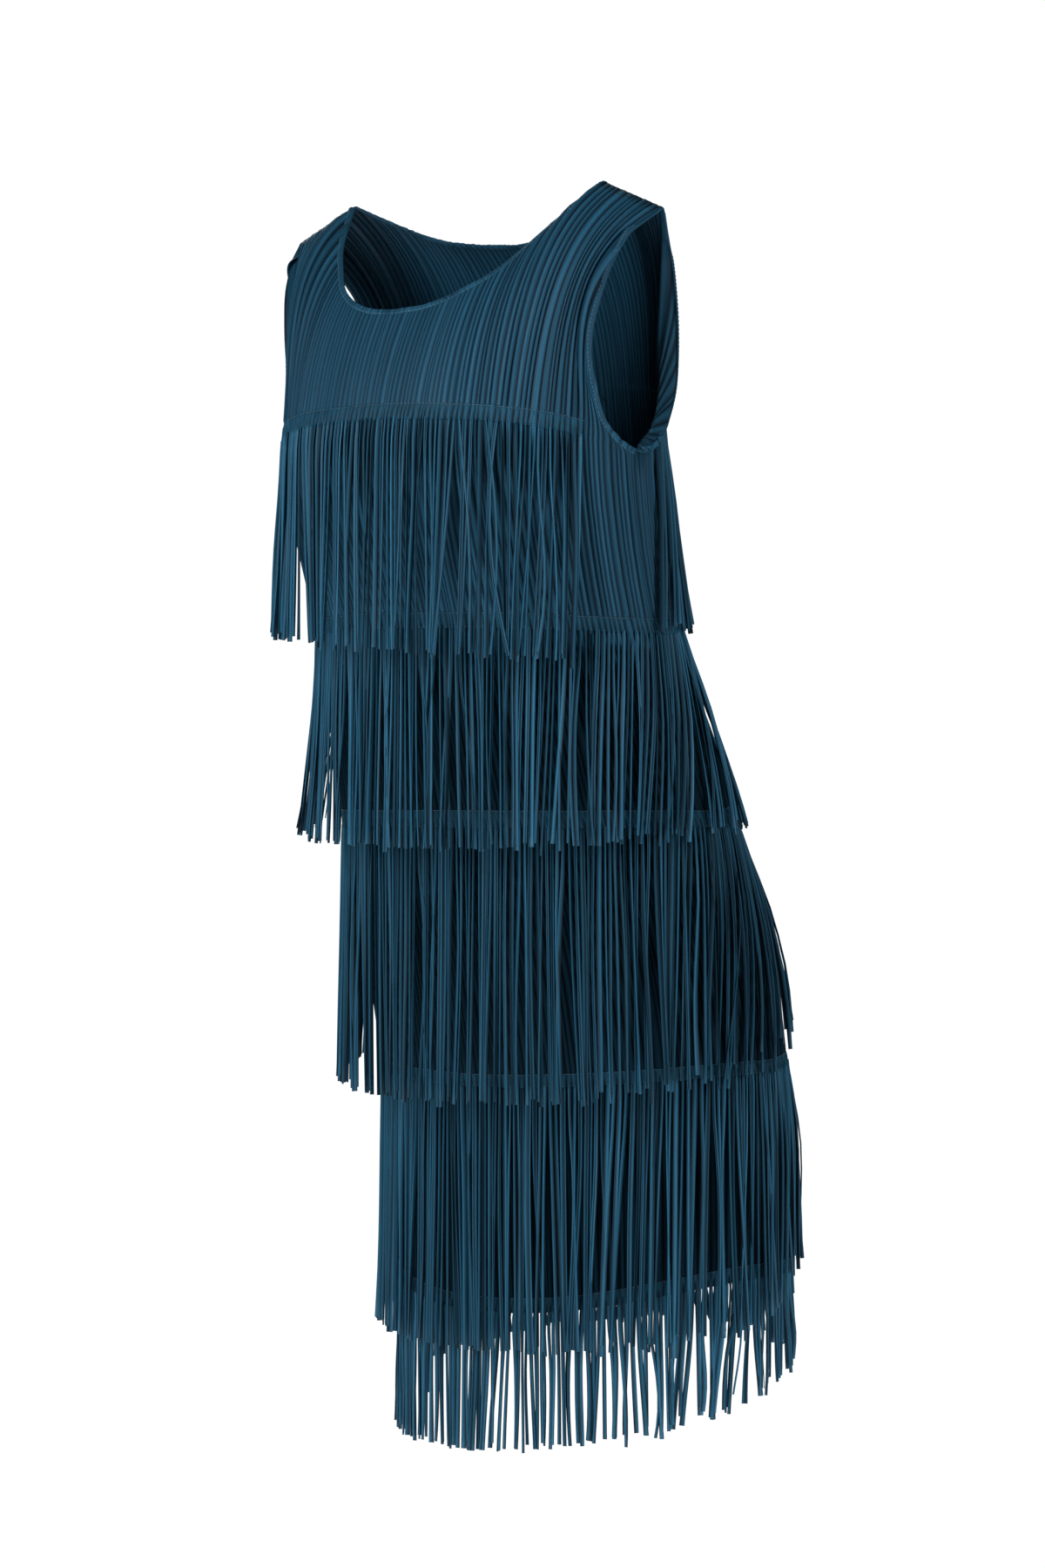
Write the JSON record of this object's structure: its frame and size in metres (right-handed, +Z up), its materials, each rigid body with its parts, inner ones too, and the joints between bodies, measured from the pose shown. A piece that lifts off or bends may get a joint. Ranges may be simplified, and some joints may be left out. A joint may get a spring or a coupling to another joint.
{
  "type": "sleeveless fringed dress",
  "caption": "Sleeveless scoop-neck dress of fine vertical pleats, with tiers of long cut fringe over the body and a fringed hem, hollow and in its worn shape.",
  "frame": {"origin": "midway between the two points where the shoulder seams meet the neckline, where the wearer's shoulders hold the dress up", "axes": "+Z up, the front faces -Y, +X is the wearer's left"},
  "size_m": [0.3524, 0.3928, 0.9386],
  "materials": {
    "pleated_cloth": "heat-pleated polyester, soft satin",
    "fringe_cloth": "cut polyester strips, soft satin"
  },
  "bodies": {
    "root": {"front_panel": "pleated_cloth", "back_panel": "pleated_cloth", "fringe_1_front": "fringe_cloth", "fringe_1_back": "fringe_cloth", "fringe_2_front": "fringe_cloth", "fringe_2_back": "fringe_cloth", "fringe_3_front": "fringe_cloth", "fringe_3_back": "fringe_cloth", "fringe_4_front": "fringe_cloth", "fringe_4_back": "fringe_cloth", "fringe_5_front": "fringe_cloth", "fringe_5_back": "fringe_cloth"}
  },
  "joints": []
}
